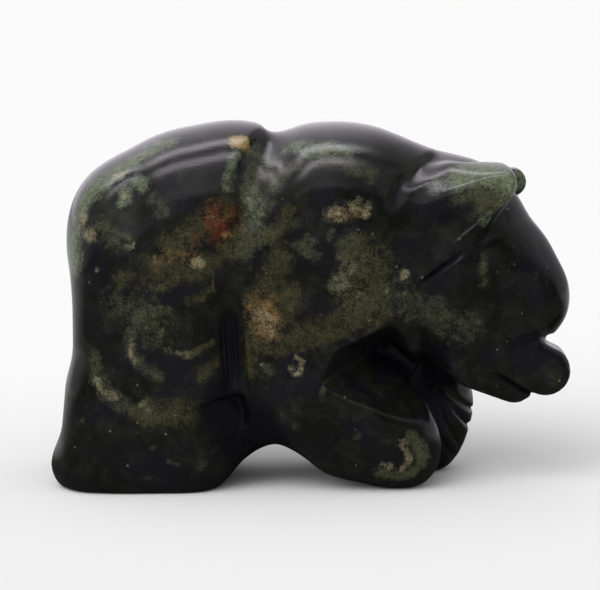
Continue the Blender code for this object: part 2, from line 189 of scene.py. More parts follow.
def line_depth(p, path, depth, left, right, side=0, middle=0.0, fade=0.15, sharp=False):
    """How far a carved line sinks the surface, by the side view's distance from its path.

    It sinks by the depth on the path and by nothing at the left or right reach, with straight flanks if
    sharp, and runs out over the fade, a share of its length, at both ends. A line with a side stays on that
    side of the plane y = middle.
    """
    path = smooth_path(path)
    reach = max(left, right)
    x, z = p[:, 0], p[:, 2]
    outward = (p[:, 1] - middle) * side
    low, high = path.min(axis=0) - reach, path.max(axis=0) + reach
    close = (x > low[0]) & (x < high[0]) & (z > low[1]) & (z < high[1])
    if side:
        close &= outward > -MIDDLE_BAND
    near = np.full(close.sum(), np.inf)
    across = np.zeros(close.sum())
    share = np.zeros(close.sum())
    flat = p[close][:, (0, 2)]
    steps = np.diff(path, axis=0)
    lengths = np.linalg.norm(steps, axis=1)
    run = np.concatenate([[0.0], np.cumsum(lengths)]) / lengths.sum()
    for a, step, length, s0, s1 in zip(path, steps, lengths, run, run[1:]):
        to_point = flat - a
        t = np.clip(to_point @ step / length ** 2, 0.0, 1.0)
        gap = np.linalg.norm(to_point - t[:, None] * step, axis=1)
        nearer = gap < near
        near = np.where(nearer, gap, near)
        turn = step[0] * to_point[:, 1] - step[1] * to_point[:, 0]
        across = np.where(nearer, turn, across)
        share = np.where(nearer, s0 + t * (s1 - s0), share)
    fall = np.clip(1.0 - near / np.where(across > 0, left, right), 0.0, 1.0)
    ends = np.clip(np.minimum(share, 1.0 - share) / fade, 0.0, 1.0)
    if sharp:
        ends = np.sqrt(ends)
    else:
        fall, ends = (v * v * (3.0 - 2.0 * v) for v in (fall, ends))
    if side:
        ends = ends * np.clip(0.5 + outward[close] / (2.0 * MIDDLE_BAND), 0.0, 1.0)
    sunk = np.zeros(len(p))
    sunk[close] = depth * fall * ends
    return sunk


# Masses of the trunk, in the order they are fused, each with its fillet
TRUNK = {
    "rump": (egg, dict(centre=(-9.8, 0, 23.5), radii=(13.4, 11, 12)), 3),
    "crown": (egg, dict(centre=(-7, 0, 26), radii=(8.2, 9.2, 9.8)), 1.5),
    "haunches": (block, dict(centre=(-15, 0, 13.5), half=(8.4, 10.2, 14), rounding=5.5), 3),
    "tail": (egg, dict(centre=(-18.9, -0.9, 26.2), radii=(4.6, 6.6, 5.2)), 2.6),
    "ribs": (block, dict(centre=(-1.5, 0, 17), half=(8.5, 9.6, 12.6), rounding=6), 3),
    "shoulders": (egg, dict(centre=(2, 0, 19.5), radii=(11.2, 11, 12)), 1.4),
    "withers": (egg, dict(centre=(2, 0, 26.3), radii=(11.3, 10.9, 9.5)), 1.4),
    "nape": (rod, dict(start=(5.2, 0, 26.2), end=(13.5, -0.4, 24.5), radii=(8.4, 8.05)), 2),
    "chest": (egg, dict(centre=(5.5, 1.5, 14), radii=(6, 5.6, 8)), 2),
}

# Masses of the hind legs, for the right one. The left one mirrors it.
HIND_LEG = {
    "leg": (block, dict(centre=(-17, -4.2, 5), half=(7.1, 4.6, 6.2), rounding=2.8, pitch=-9, yaw=7), 3.2),
    "heel": (egg, dict(centre=(-18.4, -4.2, 2.2), radii=(7.2, 4.1, 4.2), yaw=7), 1.5),
    "instep": (rod, dict(start=(-12, -4.4, 3.8), end=(-5.2, -4, 6.4), radii=(3.7, 2.8)), 1.5),
}

# Masses of the forelegs. The left one is ahead, with its paw turned up.
FORELEGS = {
    "right_upper_arm": (rod, dict(start=(0.5, -5, 19), end=(1.8, -6, 9.4), radii=(5.2, 4.8)), 2),
    "right_forearm": (egg, dict(centre=(3.5, -5.5, 7.5), radii=(9.3, 5.1, 6.3), pitch=-26), 1.5),
    "right_paw": (egg, dict(centre=(9.1, -4.1, 3.45), radii=(3.8, 4.3, 3.9)), 2),
    "left_upper_arm": (rod, dict(start=(4, 5.2, 19), end=(9, 4.6, 11), radii=(5, 4.4)), 2),
    "left_forearm": (egg, dict(centre=(4, 5.8, 7.5), radii=(9.5, 4.8, 6.6), pitch=-12), 2),
    "left_paw": (egg, dict(centre=(10.6, 3.6, 7.6), radii=(5.8, 5, 6.6), pitch=30), 1.5),
    "left_sole": (egg, dict(centre=(10.6, 4.2, 3), radii=(4.6, 4.3, 3.9)), 2),
}

# Masses of the head
HEAD = {
    "skull": (egg, dict(centre=(12.8, -0.8, 23.3), radii=(8.1, 8, 8.4)), 2),
    "muzzle": (rod, dict(start=(14.2, -1, 21.7), end=(21.4, -2.4, 19.2), radii=(7.4, 3.9)), 3),
    "brow": (egg, dict(centre=(17.9, -1.6, 21.8), radii=(5.8, 5.4, 4.8)), 3),
    "poll": (egg, dict(centre=(13.6, -0.8, 26.4), radii=(6.2, 6.4, 4.6)), 2),
    "cheek": (rod, dict(start=(11.5, -2, 20), end=(18.4, -2.4, 13.4), radii=(5.5, 4.2)), 2.5),
    "upper_lip": (egg, dict(centre=(20.9, -2.5, 16.6), radii=(3.8, 4.1, 2.7), pitch=8), 2),
    "nose": (egg, dict(centre=(23.2, -2.5, 18.6), radii=(2.1, 2.9, 2.6)), 1.5),
    "lower_jaw": (leaf, dict(base=(16.6, 12.9), tip=(20.2, 10.4), radii=(3.2, 2.1),
                             middle=-2.5, half_thickness=3.3, rounding=1.2, thinning=0.1), 0.8),
    "tongue": (leaf, dict(base=(19.6, 13.3), tip=(23.3, 11.5), radii=(2.7, 2.45),
                          middle=-2.6, half_thickness=3.2, rounding=1.1, thinning=0.12), 0.4),
}

# Ears: leaves that lie back along the head, each folded along a ridge
EARS = {
    "right_ear": (flap, dict(base=(12.6, 28.2), tip=(18.2, 30.5), radii=(4.3, 1.8),
                             ridge=((9.6, -8.6, 27.6), (18.9, -9.4, 31)), top=(14.4, -5, 32.7),
                             foot=(14.4, -8.9, 25.4), depth=4.5, rounding=1.3)),
    "left_ear": (flap, dict(base=(13, 27.2), tip=(20.4, 29.4), radii=(3.2, 1.4),
                            ridge=((10.6, 7.6, 26.8), (20.6, 7.3, 30)), top=(15.6, 4.6, 31),
                            foot=(15.4, 7.3, 24.6), depth=4.5, rounding=0.8)),
}

# Clefts cut away with round masses, each with the rounding of its edge
CLEFTS = {
    "between_hind_legs": (rod, dict(start=(-27.2, 0, -3), end=(-25, 0, 12.5), radii=(3.2, 1)), 1.2),
    "between_hind_soles": (rod, dict(start=(-27, 0, -0.7), end=(-6, 0, -0.7), radii=(1.9, 1.9)), 0.6),
    "under_belly": (egg, dict(centre=(-3.2, 0, -0.6), radii=(4.2, 30, 4.6)), 1.2),
    "right_ear_hollow": (egg, dict(centre=(14.2, -10.1, 27.3), radii=(5, 1.6, 2.3), pitch=30), 1.2),
    "left_ear_hollow": (egg, dict(centre=(15.4, 8.5, 26.4), radii=(4.2, 2, 1.4), pitch=28), 0.8),
    "drilled_hole": (rod, dict(start=(12.2, -2, 9.4), end=(12.2, 1.6, 9.4), radii=(0.45, 0.4)), 0.2),
}

# Hollows cut in with straight sides, their corners in the side view, clockwise
PITS = {
    "right_arm_hollow": dict(corners=[(2.2, 11.6), (3.2, 14.2), (7.9, 16.9), (15.5, 9.6), (11.3, 6.4)],
                             side=-1, mouth=9, floor=2.6, draft=(0.6, 0.35, 0.28, 0.4, 0.58), rounding=0.4),
    "right_belly_hollow": dict(corners=[(-10.4, 8.9), (-8.7, 9.7), (-6.5, 9.9), (-5.4, 6.9), (-6.6, 2.8),
                                        (-10.8, 4.4)],
                               side=-1, mouth=9.4, floor=5.4, draft=(0.35, 0.35, 0.35, 0.6, 1.5, 2),
                               rounding=0.4),
    "left_arm_hollow": dict(corners=[(2.6, 11.6), (3.6, 14.2), (8.3, 16.9), (15.9, 9.6), (11.7, 6.4)],
                            side=1, mouth=9, floor=6.2, draft=0.5, rounding=1.6),
    "left_belly_hollow": dict(corners=[(-10.8, 8.8), (-6.3, 9.6), (-4, 5.4), (-7.8, 2.6)],
                              side=1, mouth=9.5, floor=6.5, draft=0.35, rounding=1),
}

# Lines cut into the surface, as paths in the side view
LINES = {
    "waist": dict(path=[(-3.6, 35.5), (-4.5, 34.6), (-5.7, 33.5), (-6.8, 31.7), (-7.5, 30.4), (-8.3, 28.6)],
                  depth=0.62, left=2.8, right=1.1, fade=0.4),
    "saddle": dict(path=[(-2.6, 36.3), (-3, 35), (-4.2, 32.4), (-5.4, 30), (-6.4, 27), (-7, 24)],
                   depth=0.85, left=4.8, right=2.8, fade=0.3),
    "flank": dict(path=[(-8.3, 27.6), (-8.2, 24.5), (-8, 19), (-7.7, 14.5), (-7.2, 7)],
                  depth=0.7, left=1.7, right=2.6, fade=0.3),
    "tail": dict(path=[(-15.4, 31.6), (-16.6, 29.8), (-17.3, 28), (-17.9, 25.9), (-18.5, 23.4)],
                 depth=0.3, left=3, right=2.4, fade=0.6),
    "neck": dict(path=[(14, 32.6), (11.5, 32), (9.8, 31.1), (8.5, 30.2), (7.9, 28.8), (7.5, 26.6)],
                 depth=0.45, left=1.5, right=1.1, side=-1, fade=0.3),
    "right_eye": dict(path=[(10.2, 20.2), (11, 21.1), (12.4, 22.3), (14, 23.4), (15, 24)],
                      depth=0.58, left=0.25, right=0.55, side=-1, sharp=True, fade=0.35),
    "left_eye": dict(path=[(11.6, 20), (13, 21.4), (14.6, 22.6), (16.2, 23.7)],
                     depth=0.45, left=0.25, right=0.8, side=1, sharp=True, fade=0.4),
    "mouth": dict(path=[(25.4, 13.7), (24.2, 14.2), (23, 15.2), (22, 15.2), (20.4, 14.7), (18.2, 13.9)],
                  depth=0.38, left=0.8, right=0.8, fade=0.4),
    "ear_edge": dict(path=[(20.3, 29.8), (19.8, 28.8), (18.7, 27.6), (17.1, 26), (15.4, 24.6),
                           (13.6, 23.4)],
                     depth=0.32, left=1.4, right=0.3, side=-1, fade=0.4),
    "lip": dict(path=[(17.6, 12.2), (18.6, 11.4), (19.6, 10.7), (20.9, 9.8), (22.4, 9.1)],
                depth=0.45, left=0.3, right=0.35, fade=0.3),
}

# Toes of the forward paw, parted by lines that fan out from its wrist
TOE_FAN = [
    [(12.9, 11.5), (15.4, 9.6), (17.4, 8.1)],
    [(12.9, 9.4), (15.4, 7.3), (17.2, 5.7)],
    [(13.9, 7.6), (15.5, 5.5), (16.9, 3.6)],
    [(12.7, 8.6), (13.5, 5.9), (14.6, 3.8), (15.6, 2)],
    [(12.4, 5.1), (14, 2.5), (14.9, 1)],
    [(11.9, 3), (12.9, 1.5), (13.6, 0.4)],
]
TOE_LINE = dict(depth=0.3, left=0.36, right=0.36, side=1, middle=-2.5, fade=0.3)

# Finer cuts and rims that are too small for the solid. A rim has a depth below zero.
FINE_LINES = {
    "ear_rim": dict(path=[(18.9, 31.7), (19.4, 31), (19.45, 30), (19.1, 29.2), (18, 28.2), (16.4, 26.7),
                          (14.9, 25.5), (13.4, 24.2)],
                    depth=-0.2, left=0.3, right=0.3, side=-1, fade=0.3),
    "nostril": dict(path=[(24.7, 17.4), (24.2, 16.8), (23.6, 16.1), (23.2, 15.6)],
                    depth=0.4, left=0.35, right=0.4, fade=0.3),
    "recess_ridge": dict(path=[(8.5, 15.2), (7.7, 14), (6.8, 12.9)],
                         depth=-0.35, left=0.5, right=0.5, side=-1, fade=0.3),
    "waist_edge": dict(path=[(-6.6, 17.5), (-6.5, 14.5), (-6.2, 11.5), (-6, 9.6)],
                       depth=0.32, left=0.24, right=0.9, side=-1, fade=0.3),
}
# Scraper marks that run down the channel behind the ribs
for mark in range(5):
    FINE_LINES["scrape_%d" % mark] = dict(
        path=[(-8.8 + 0.5 * mark, 18.9 - 0.3 * mark), (-8.5 + 0.44 * mark, 14), (-8.1 + 0.36 * mark, 10.2)],
        depth=0.1, left=0.21, right=0.21, side=-1, fade=0.45)

# Where the polish doesn't reach, and where shade is painted darker into the stone in its recesses, grooves
# and creases and over one bright rim: rows of radius, strength and path in space, and three carved lines
DULL_AND_SHADED_ROWS = [
    (3, 1, [(4.6, -2, 13), (8, -2, 12.5), (12, -2, 9.5)]),
    (3.6, 1.35, [(-8.6, -6.6, 8.4), (-6.8, -6.2, 8), (-5.6, -6.6, 5.2)]),
    (1.2, 1, [(-7.9, -9.3, 17.5), (-7.3, -9.1, 10.5)]),
    (1, 0.9, [(12.9, -8.9, 27), (15.4, -9, 28.2)]),
    (0.7, 0.7, [(-5.7, -5.5, 33.5), (-6.8, -7.4, 31.7), (-7.5, -8.6, 30.6)]),
    (1.8, 0.4, [(-4, -4.5, 33.6), (-5, -7, 31), (-6.2, -9, 27.5)]),
    (0.8, 0.9, [(7.8, -8.6, 29), (9.5, -7.8, 30.8), (12, -6.2, 32.2)]),
    # dulled and painted darker as shade over the bright front rim of the right forearm
    (0.8, 0.6, [(4, -8.9, 11.2), (9, -8.3, 8), (12, -7.4, 6), (12.9, -5.8, 3.4)]),
]
CREASES = ("right_eye", "left_eye", "lip")
PATCH_GONE = 1.7  # the cover of a patch or of the painted shade is gone this many radii from its path,
PATCH_FALL = 1.2  # and falls from full over this many

# Coloured patches in the stone, by kind: the radius, strength and path of each, in millimetres
PATCHES = {"mint": [
    (1.2, 1.1, [(-23, -6.8, 22.7), (-23.1, -6.1, 24.7), (-22.9, -5.6, 26.4),
                (-22.1, -5.4, 28.4), (-20.7, -5.4, 30), (-18.8, -5, 31.3)]),
    (0.97, 1.1, [(-18.8, -4.7, 31.5), (-17.1, -4.3, 32.5), (-15.5, -4.2, 33.4), (-14.1, -3.9, 34)]),
    (0.77, 1.2, [(-18.8, -5.5, 31)]),
    (0.68, 1.1, [(-16.8, -6.7, 30.7), (-16.3, -7.4, 30.2)]),
    (0.68, 1, [(-15.9, -3.2, 33.6), (-15.1, -3.2, 34)]),
    (0.68, 0.9, [(-17.9, -6.9, 29.9), (-18.1, -7.7, 28.8)]),
    (0.58, 0.85, [(-7.1, -6.5, 33.4), (-7.5, -7.7, 32), (-8, -8.8, 30.3)]),
    (0.97, 0.5, [(-5.8, -8.3, 29.3), (-5.4, -9, 27.8)]),
    (0.87, 0.95, [(-1, -5.6, 33.9), (0.4, -6.6, 33.7), (1.9, -6.6, 33.9), (3.3, -6.9, 33.6)]),
    (0.68, 0.7, [(-2.4, -4.8, 33.4), (-1, -5.3, 34.1)]),
    (1.4, 1.2, [(14.7, -7.1, 31.1), (16.5, -7.1, 31.7), (18.2, -7.9, 31.8), (19.3, -8.9, 31.1)]),
    (0.77, 0.9, [(14.2, -6.2, 31.6), (15.6, -5.7, 32.1), (17.3, -6.2, 32.2), (18.6, -7.6, 31.9)]),
    (0.48, 0.6, [(19.1, -9.3, 29.2), (18, -8.7, 27.9), (16.8, -8.7, 26.8)]),
    (0.97, 0.6, [(12.2, -7.3, 30.2), (13.6, -6.7, 31.1)]),
    (0.77, 0.9, [(21.3, 3.2, 30.1), (21.4, 3.2, 29.3)]),
], "cream": [
    (0.48, 0.95, [(-18.8, -5.5, 31), (-18.4, -5.8, 30.9)]),
    (0.29, 0.55, [(-18.1, -7, 29.7), (-17.9, -7.6, 29)]),
    (0.58, 0.8, [(-22.3, -6, 27.5), (-22.1, -6.7, 26.6)]),
    (0.58, 0.8, [(-21.8, -7.6, 25.7), (-21.2, -8.3, 25.4)]),
    (0.29, 0.8, [(-17.7, -10, 24.6), (-17.1, -10.1, 24.7)]),
    (0.19, 0.7, [(-20.6, -9.5, 22.3)]),
    (0.44, 0.8, [(-11.1, -11.3, 23), (-10.6, -11.3, 23.2)]),
    (0.77, 0.6, [(2.1, -10.7, 28), (3, -10.7, 27.9)]),
    (0.77, 0.62, [(4.3, -10.3, 28.6), (5, -10.3, 28.3)]),
    (0.87, 0.45, [(3.8, -10.7, 22.2), (3, -10.9, 21.1)]),
    (0.44, 0.8, [(9.1, -8.8, 21.7)]),
    (0.21, 0.9, [(7.4, -9.6, 20.1)]),
    (0.21, 0.9, [(9.1, -8.6, 19.9)]),
    (0.29, 0.7, [(4.7, -10.7, 20)]),
    (0.77, 0.55, [(-4.9, -10.1, 18), (-3.9, -9.9, 16.6)]),
    (0.25, 0.95, [(-1.4, -10.4, 13.9), (-0.8, -10.5, 13.4),
                (-0.9, -10.4, 12.5), (-1.4, -10.3, 12.2), (-1.9, -10.1, 12.7)]),
    (0.19, 0.7, [(-4.7, -9.6, 13)]),
    (0.19, 0.6, [(-3.9, -9.6, 12.1)]),
    (0.17, 0.8, [(6.4, -8.5, 9.4)]),
    (0.29, 0.85, [(8.9, -9.5, 5.2), (9.5, -9.2, 4.1), (9.7, -9, 3.2), (9, -8.9, 2.5)]),
    (0.24, 0.7, [(7.1, -9.4, 3.1), (7.8, -9.2, 2.8)]),
    (0.24, 0.75, [(-17.3, -10.2, 15.3), (-17.3, -10.2, 13.9), (-16.9, -10.2, 13.3)]),
    (0.19, 0.7, [(-14.1, -10.4, 16.4)]),
    (0.17, 0.7, [(-14, -10.2, 14.5), (-11.8, -10.2, 14)]),
    (0.29, 0.7, [(-20.8, -9.8, 11.5), (-20, -10.3, 10.4), (-18.8, -10.5, 9.7)]),
    (0.29, 0.6, [(-16.5, -10.4, 9.4), (-15.6, -10.4, 8.6)]),
    (0.15, 0.6, [(19.3, -5.2, 27.7)]),
    (0.13, 0.7, [(19.9, -7.6, 22.7)]),
    (0.13, 0.7, [(20.6, -7.4, 21.2)]),
    (0.13, 0.6, [(22, -6.7, 21.5)]),
    (0.15, 0.6, [(14.4, -9, 25.2)]),
    (0.15, 0.6, [(15.9, -8.6, 25)]),
], "tan": [
    (0.19, 1, [(-20.8, -5.4, 29.9)]),
    (0.29, 0.45, [(-9.8, -10.2, 27.9), (-9.1, -10.5, 27), (-7.9, -10, 27.5)]),
    (0.29, 1, [(-8.2, -10.5, 25.7), (-7.8, -10.4, 25.8)]),
    (0.24, 0.8, [(-9.8, -10.4, 27.6)]),
    (0.77, 0.55, [(-14.5, -11, 23.4), (-13.1, -11.1, 24), (-11.9, -11.2, 24), (-11.2, -11.3, 23.4)]),
    (0.12, 0.7, [(-9.4, -10.8, 22), (-9.4, -10.6, 20.4)]),
    (0.17, 1, [(-5.7, -10.8, 22.4)]),
    (0.15, 0.9, [(-4.6, -10.6, 22.5)]),
    (0.58, 0.7, [(2.6, -10.8, 27.8), (3.8, -10.6, 27.8), (5, -10.4, 28)]),
    (0.24, 1, [(5.1, -10.3, 28.1)]),
    (0.24, 0.9, [(3.6, -10.7, 27.9)]),
    (0.19, 0.7, [(3.5, -10.7, 22.1)]),
    (1.3, 0.9, [(-4.7, -10.2, 18.6), (-4.3, -9.9, 16.8)]),
    (0.29, 1.1, [(-3.7, -10.3, 18.8), (-3.5, -10.2, 17.6)]),
    (0.19, 0.8, [(-0.9, -10.5, 13.6), (-0.8, -10.5, 12.8)]),
], "moss": [
    (0.87, 0.7, [(-20.4, -8.4, 26.5), (-19.2, -9.4, 25.3), (-17.8, -9.9, 25)]),
    (0.58, 0.75, [(-15.2, -8.6, 29.1), (-14.7, -9.2, 28.4), (-14.1, -9.7, 27.8)]),
    (0.39, 0.7, [(-14.4, -10.9, 20.8)]),
    (2.1, 0.5, [(-17.6, -10.4, 19.4), (-15.5, -10.3, 16.9)]),
    (1.6, 0.6, [(8.3, -9.1, 19), (11.7, -8.2, 17.9), (15.4, -7.5, 16)]),
    (0.97, 0.85, [(-5.5, -4.6, 33.4), (-5.7, -6.3, 31.8), (-5.7, -7.6, 30.2)]),
    (1.3, 0.85, [(-5.8, -8.3, 29.3), (-5.4, -9, 27.8), (-6, -10.1, 26)]),
    (0.97, 0.65, [(-4.5, -5.1, 32.5), (-4.1, -7.7, 30.2)]),
    (0.77, 0.85, [(-6.8, -10.8, 24), (-5.6, -10.5, 25), (-4.3, -10.1, 25.6)]),
    (0.29, 0.75, [(-3.1, -8.4, 29.9)]),
    (0.34, 0.7, [(-3.6, -9, 28.6)]),
    (0.87, 0.8, [(-3.1, -7.6, 30.8), (-2, -7.2, 31.9), (-0.4, -7.7, 32.5),
                (1.9, -8, 32.8), (4, -8.3, 32.2), (5.6, -8.5, 31.5)]),
    (0.39, 0.65, [(-0.3, -10.7, 25.6), (0.2, -10.8, 25.1)]),
    (0.29, 0.7, [(1.6, -10.9, 25.3), (2.1, -10.9, 26.1)]),
    (0.58, 0.55, [(-1.3, -10.6, 24.6), (0.5, -10.8, 23.8)]),
    (0.97, 0.9, [(4, -10.7, 25.3), (3.4, -10.7, 24.3),
                (4.8, -10.4, 23.1), (3.5, -10.7, 21.8), (2.7, -10.9, 21.1)]),
    (2.5, 0.6, [(5.9, -10.1, 22.1), (7.3, -9.7, 20.5), (5.2, -10.6, 19.3)]),
    (0.77, 0.6, [(-4.3, -9.6, 12.5)]),
    (0.29, 0.7, [(1.2, -10.9, 10.9), (1.2, -10.9, 10.4)]),
    (0.34, 0.65, [(-2.8, -9.6, 7.9)]),
    (0.39, 0.6, [(-1.4, -9.9, 6.9)]),
    (0.39, 0.55, [(4.5, -10.5, 6.1)]),
    (0.68, 0.95, [(9.9, -9.1, 5.6), (10.8, -8.6, 4.5), (11.2, -8.2, 3.3),
                (10.4, -8.4, 2.3), (9, -8.5, 1.8), (6.8, -8.7, 2)]),
    (0.77, 0.6, [(14.5, -7.2, 15.4)]),
    (0.58, 0.6, [(16.2, -7.6, 16.7)]),
    (0.87, 0.55, [(9.3, -8.2, 17.7), (11.2, -8.5, 18.9)]),
    (0.48, 0.6, [(16.8, -8.7, 23.3), (16.6, -8.8, 21.9), (16.9, -8.6, 20.7)]),
    (1.4, 1.1, [(15.4, -8.5, 28.9), (17.4, -8.8, 29.3), (18.9, -9.1, 30)]),
    (0.58, 0.8, [(-14.1, -10.7, 18.6), (-15.5, -10.5, 18.2), (-16.5, -10.3, 17.7), (-17.2, -10.2, 16.5),
                (-17.4, -10.2, 15.1), (-17.2, -10.2, 13.9), (-16, -10.2, 12.8), (-14.8, -10.2, 12)]),
    (0.39, 0.8, [(-14.8, -10.3, 15.6)]),
    (0.68, 0.75, [(-21, -9.3, 14), (-20.9, -9.7, 11.9),
                (-19.7, -10.3, 10.2), (-18.3, -10.5, 9.2), (-16.7, -10.5, 8.5)]),
    (0.87, 0.8, [(-16.2, -10.4, 9.1), (-15.6, -10.4, 8.1)]),
    (0.24, 0.7, [(-22.2, -9.6, 7.5)]),
    (0.29, 0.6, [(-15.3, -10.4, 5)]),
    (0.19, 0.7, [(-13.9, -10.3, 3.6), (-12.9, -10.1, 3.2)]),
    (0.39, 0.6, [(-10.9, -9.7, 2.6), (-10.4, -9.7, 3.2)]),
    (0.24, 0.6, [(-16.4, -9.9, 1.8), (-15.7, -9.8, 1.8)]),
], "yellow": [
    (0.87, 1.2, [(-7, -5.3, 34.4), (-6.6, -5.5, 34.2)]),
], "olive": [
    (1.3, 0.8, [(-7.9, -9.7, 28.5), (-9.8, -10.5, 27), (-11.6, -10.9, 25.7), (-13.3, -11, 24.6)]),
    (1.2, 0.85, [(-6.8, -10.2, 26), (-7.9, -10.6, 24.3)]),
    (1.1, 0.8, [(-15.4, -10.8, 22.8), (-13.3, -11.2, 22.3), (-11, -11.3, 22.3), (-9.5, -10.9, 23.2)]),
    (0.68, 0.7, [(-18.2, -10.4, 21.4), (-15.8, -10.7, 21.4), (-14.2, -10.9, 20.9), (-12, -11.3, 21.9)]),
    (0.48, 0.65, [(-11.9, -11, 19.4), (-10.6, -11, 19.7), (-9.6, -10.7, 20.4)]),
    (0.68, 0.85, [(-4.1, -10.1, 25.6), (-2.9, -10, 26.9), (-1.9, -10, 28.1)]),
    (0.77, 0.6, [(-1.7, -10.3, 27)]),
    (1.2, 0.75, [(-2.9, -10.4, 23.7), (-3.8, -10.5, 21.4), (-5.2, -10.4, 19.4)]),
    (1.4, 0.8, [(-2, -10.7, 19.5), (-3.9, -10, 17.2), (-5.7, -9.7, 15.6)]),
    (1.9, 0.7, [(5, -10.4, 23.5), (6.1, -10.2, 20.4), (4, -10.8, 17.7)]),
    (1.4, 0.8, [(6.5, -10, 18.2), (4.4, -10.7, 17.7), (1.9, -11, 16.4), (-0.8, -10.7, 16)]),
    (0.87, 0.75, [(-1.2, -10.6, 15.7), (-3.3, -9.8, 14.8), (-5.5, -9.6, 14), (-6.1, -9.4, 12.6)]),
    (0.77, 0.8, [(16.4, -8.6, 28.5), (18.3, -8.9, 29)]),
    (0.29, 0.95, [(-14, -10.2, 14.5), (-13, -10.2, 14.2),
                (-11.8, -10.2, 13.9), (-10.7, -10.1, 14.6), (-9.5, -9.7, 15.2)]),
    (0.68, 0.75, [(-9.5, -9.5, 13), (-10.5, -10, 11.9)]),
    (1.1, 0.95, [(-16, -10.4, 8.5), (-14.6, -10.4, 8.3), (-12.8, -10.3, 8.4), (-11.7, -10, 8.2)]),
], "rust": [
    (1.2, 0.75, [(-9.3, -10.3, 27.8), (-8.7, -10.5, 26.2)]),
    (0.87, 0.55, [(-7.2, -9.5, 27.9), (-7.5, -10.1, 26.6)]),
    (0.68, 0.5, [(-10.7, -11, 25.5)]),
]}

# The same kinds on the flank turned away and on the belly, fewer and softer
FAR_PATCHES = {"moss": [
    (1.6, 0.85, [(-21.5, 4.5, 27.5), (-18.5, 5.5, 31), (-13.5, 6.2, 32.6)]),
    (2.6, 0.75, [(-12, 10.8, 21), (-9, 10.4, 25.5)]),
    (1.2, 0.7, [(-16, 10.2, 14), (-13, 10.3, 10), (-9.5, 9.6, 8.6)]),
    (3, 0.7, [(3, 10, 22.5), (7, 8.8, 19.5)]),
    (1.6, 0.65, [(-2, 9.5, 28), (2, 8, 31.5)]),
    (1, 0.7, [(15.5, 7.2, 28.6), (18.8, 6.8, 29.4)]),
    (1.4, 0.6, [(14, 5.6, 17.5), (17.5, 2.4, 15.5)]),
    (1.2, 0.6, [(-4.5, 0, 4.3), (-2, 2, 4.6)]),
], "olive": [
    (2.4, 0.75, [(-18.5, 9.6, 20), (-14, 10.6, 24)]),
    (3.2, 0.75, [(-3, 10.2, 18), (1.5, 10.2, 14)]),
    (1.6, 0.7, [(-18, 9.6, 5), (-12.5, 9.6, 4)]),
    (1.8, 0.65, [(6, 10, 7), (10.5, 7.6, 4.5)]),
    (1.5, 0.6, [(-24, 1, 20), (-24.2, 3.5, 14)]),
], "tan": [
    (0.9, 0.85, [(-1.5, 10, 24.5), (0.2, 10.2, 23)]),
    (0.3, 0.9, [(-16.5, 9.6, 25.6)]),
    (0.25, 0.9, [(5.5, 9.6, 17)]),
], "rust": [
    (1.2, 0.8, [(-3.6, 9.8, 25.6), (-2.8, 10, 27.2)]),
], "cream": [
    (0.5, 0.75, [(-11.5, 10.7, 24.4)]),
    (0.45, 0.7, [(3.4, 9.9, 26), (4.6, 9.7, 26.4)]),
    (0.35, 0.7, [(-17.5, 10, 12.5), (-16.4, 10.2, 11.2)]),
]}


def mirrored(sizes):
    """The same mass on the other flank."""
    other = dict(sizes)
    for name in ("centre", "start", "end"):
        if name in sizes:
            x, y, z = sizes[name]
            other[name] = (x, -y, z)
    if "yaw" in sizes:
        other["yaw"] = -sizes["yaw"]
    return other


def body_masses():
    """All masses of trunk and legs, in the order they are fused."""
    legs = []
    for shape, sizes, blend in HIND_LEG.values():
        legs += [(shape, sizes, blend), (shape, mirrored(sizes), blend)]
    return list(TRUNK.values()) + legs + list(FORELEGS.values())


def ear_masses():
    """The ears' masses with their common fillet."""
    return [(shape, sizes, EAR_FILLET) for shape, sizes in EARS.values()]


def group(p, masses, body=None):
    """Fuse a group of masses, onto what is there already."""
    for shape, sizes, blend in masses:
        mass = shape(p, **sizes)
        body = mass if body is None else fuse(body, mass, blend)
    return body


def all_lines():
    """The sizes of every carved line but the toes."""
    return list(LINES.values()) + list(FINE_LINES.values())


def carving(p):
    """The whole stone as one field, below zero inside: trunk, head and ears fused, clefts and hollows carved
    off, the depth of each line added, and all below the ground cut away."""
    stone = fuse(group(p, body_masses()), group(p, HEAD.values()), HEAD_FILLET)
    stone = group(p, ear_masses(), stone)
    for shape, sizes, rounding in CLEFTS.values():
        stone = carve(stone, shape(p, **sizes), rounding)
    for sizes in PITS.values():
        stone = carve(stone, pit(p, **sizes), HOLLOW_EDGE)
    for sizes in all_lines():
        stone = stone + line_depth(p, **sizes)
    for path in TOE_FAN:
        stone = stone + line_depth(p, path, **TOE_LINE)
    return carve(stone, p[:, 2], SOLE_EDGE)


def settle(points, rounds):
    """Move points onto the surface: each time by the field's value along its slope, over its steepness."""
    steps = np.eye(3) * SEARCH_STEP
    for _ in range(rounds):
        value = carving(points)
        slope = np.stack([(carving(points + s) - value) / SEARCH_STEP for s in steps], axis=1)
        move = -value[:, None] * slope / ((slope ** 2).sum(axis=1, keepdims=True) + TINY)
        size = np.linalg.norm(move, axis=1, keepdims=True)
        points = points + move * np.minimum(1.0, LONGEST_MOVE / (size + TINY))
    return points


def even_out(points, edges, share):
    """Draw each point by a share of the way towards the middle of its neighbours."""
    total = np.zeros_like(points)
    count = np.zeros(len(points))
    for a, b in ((0, 1), (1, 0)):
        for axis in range(3):
            total[:, axis] += np.bincount(edges[:, a], points[edges[:, b], axis], len(points))
        count += np.bincount(edges[:, a], minlength=len(points))
    return points + share * (total / count[:, None] - points)


